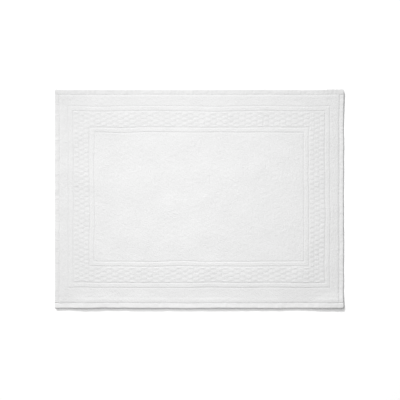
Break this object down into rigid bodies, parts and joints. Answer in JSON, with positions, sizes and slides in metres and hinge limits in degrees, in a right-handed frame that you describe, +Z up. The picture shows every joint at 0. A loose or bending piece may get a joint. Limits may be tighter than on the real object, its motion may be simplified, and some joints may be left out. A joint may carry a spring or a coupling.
{
  "type": "bath mat",
  "caption": "Flat rectangular terry bath mat: plain centre, border of raised woven bricks between two ribs, plain margin and stitched hems on all four sides.",
  "frame": {"origin": "middle of the mat on the floor it lies on", "axes": "+X along the mat's long side, +Y across it towards the narrower margin, +Z up out of the side that is stood on"},
  "size_m": [0.8, 0.607, 0.0075],
  "materials": {
    "terry_loops": "white cotton terry loops, matt",
    "ground_weave": "white cotton plain weave, matt",
    "hem_weave": "white cotton flat weave, smooth matt",
    "stitch_thread": "white spun sewing thread, slight sheen"
  },
  "bodies": {
    "root": {"ground_cloth": "ground_weave", "back_pile": "terry_loops", "field_pile": "terry_loops", "margin_pile_back": "terry_loops", "margin_pile_front": "terry_loops", "margin_pile_left": "terry_loops", "margin_pile_right": "terry_loops", "outer_rib_back": "terry_loops", "outer_rib_front": "terry_loops", "outer_rib_left": "terry_loops", "outer_rib_right": "terry_loops", "brick_band_back": "terry_loops", "brick_band_front": "terry_loops", "brick_band_left": "terry_loops", "brick_band_right": "terry_loops", "inner_rib_back": "terry_loops", "inner_rib_front": "terry_loops", "inner_rib_left": "terry_loops", "inner_rib_right": "terry_loops", "hem_back": "hem_weave", "hem_front": "hem_weave", "hem_left": "hem_weave", "hem_right": "hem_weave", "needle_thread_back": "stitch_thread", "needle_thread_front": "stitch_thread", "needle_thread_left": "stitch_thread", "needle_thread_right": "stitch_thread", "bobbin_thread_back": "stitch_thread", "bobbin_thread_front": "stitch_thread", "bobbin_thread_left": "stitch_thread", "bobbin_thread_right": "stitch_thread"}
  },
  "joints": []
}
